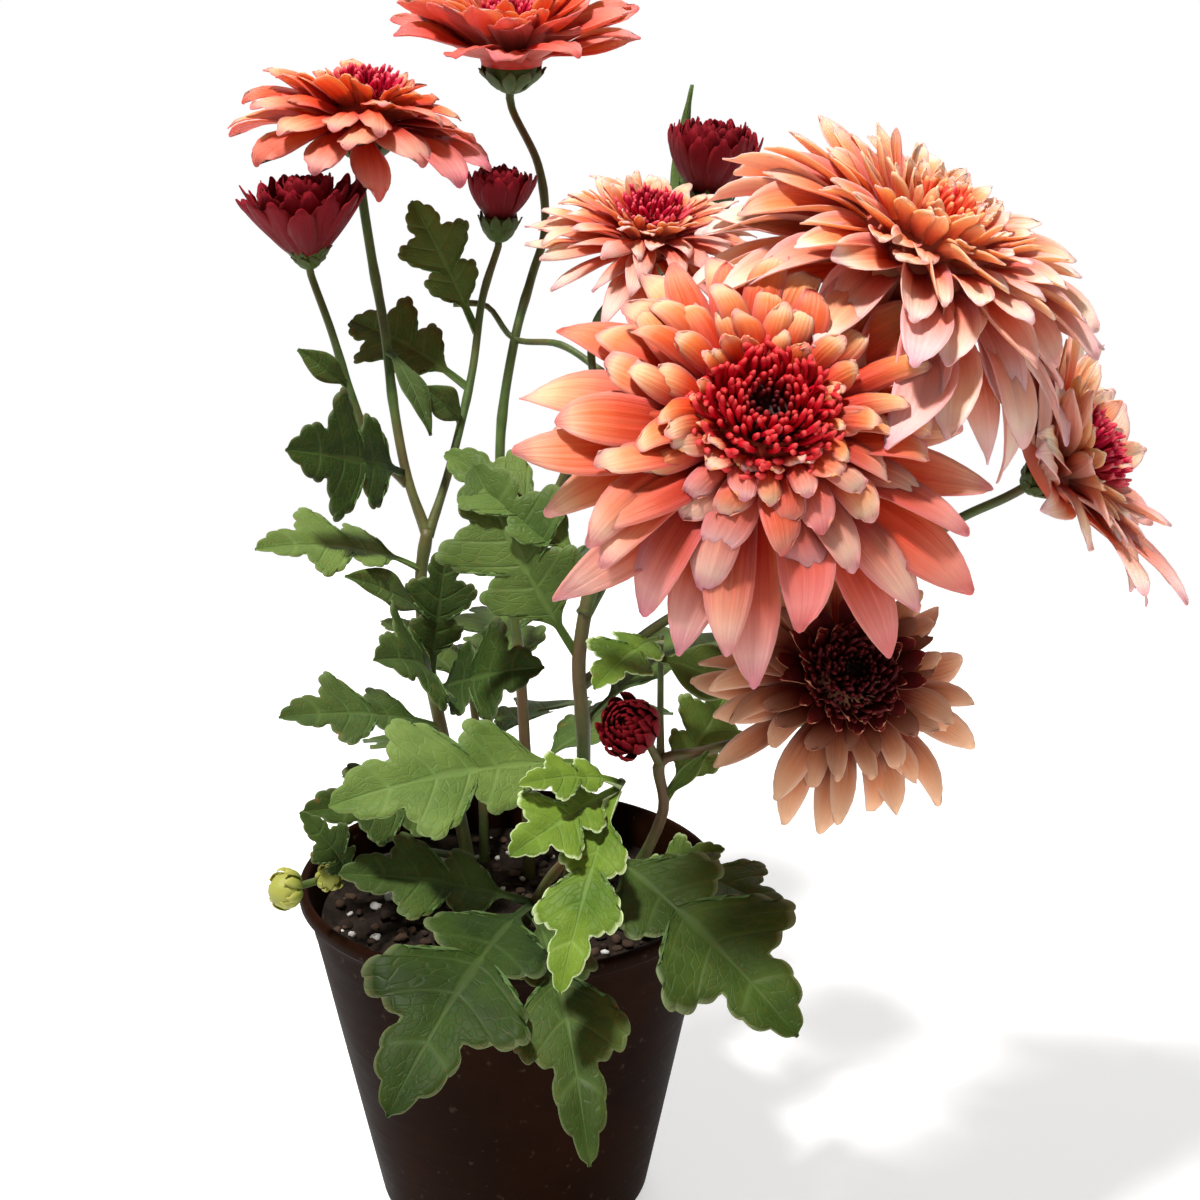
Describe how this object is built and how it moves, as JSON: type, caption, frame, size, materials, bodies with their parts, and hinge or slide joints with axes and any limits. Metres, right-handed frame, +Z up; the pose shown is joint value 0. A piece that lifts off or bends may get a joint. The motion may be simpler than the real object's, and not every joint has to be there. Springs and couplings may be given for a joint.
{
  "type": "pot chrysanthemum",
  "caption": "Flowering pot chrysanthemum: coral double flower heads, crimson buds and lobed leaves on branching stems, rooted in a dark brown round plastic nursery pot.",
  "frame": {"origin": "centre of the pot's base, on the surface it stands on", "axes": "+Z up along the pot's axis, +X to the right and +Y away from the viewer as the plant's front is seen"},
  "size_m": [0.2504, 0.2339, 0.3454],
  "materials": {
    "pot_brown": "satin, injection moulded",
    "earth": "dark peat soil",
    "leaf_green": "leaf, soft sheen",
    "petal_coral": "petal, matt",
    "petal_crimson": "petal, matt"
  },
  "bodies": {
    "root": {"pot": "pot_brown", "soil": "earth", "stem_left": "leaf_green", "stem_back": "leaf_green", "stem_right": "leaf_green", "stem_low": "leaf_green", "stem_young": "leaf_green", "stem_low_back": "leaf_green", "petals_front": "petal_coral", "petals_top_right": "petal_coral", "petals_low_right": "petal_coral", "petals_middle": "petal_coral", "petals_far_right": "petal_coral", "petals_top_left": "petal_coral", "petals_top": "petal_coral", "centre_front": "petal_crimson", "centre_top_right": "petal_crimson", "centre_low_right": "petal_crimson", "centre_middle": "petal_crimson", "centre_far_right": "petal_crimson", "centre_top_left": "petal_crimson", "centre_top": "petal_crimson", "bud_left": "petal_crimson", "bud_inner": "petal_crimson", "bud_back": "petal_crimson", "bud_front": "petal_crimson"}
  },
  "joints": []
}
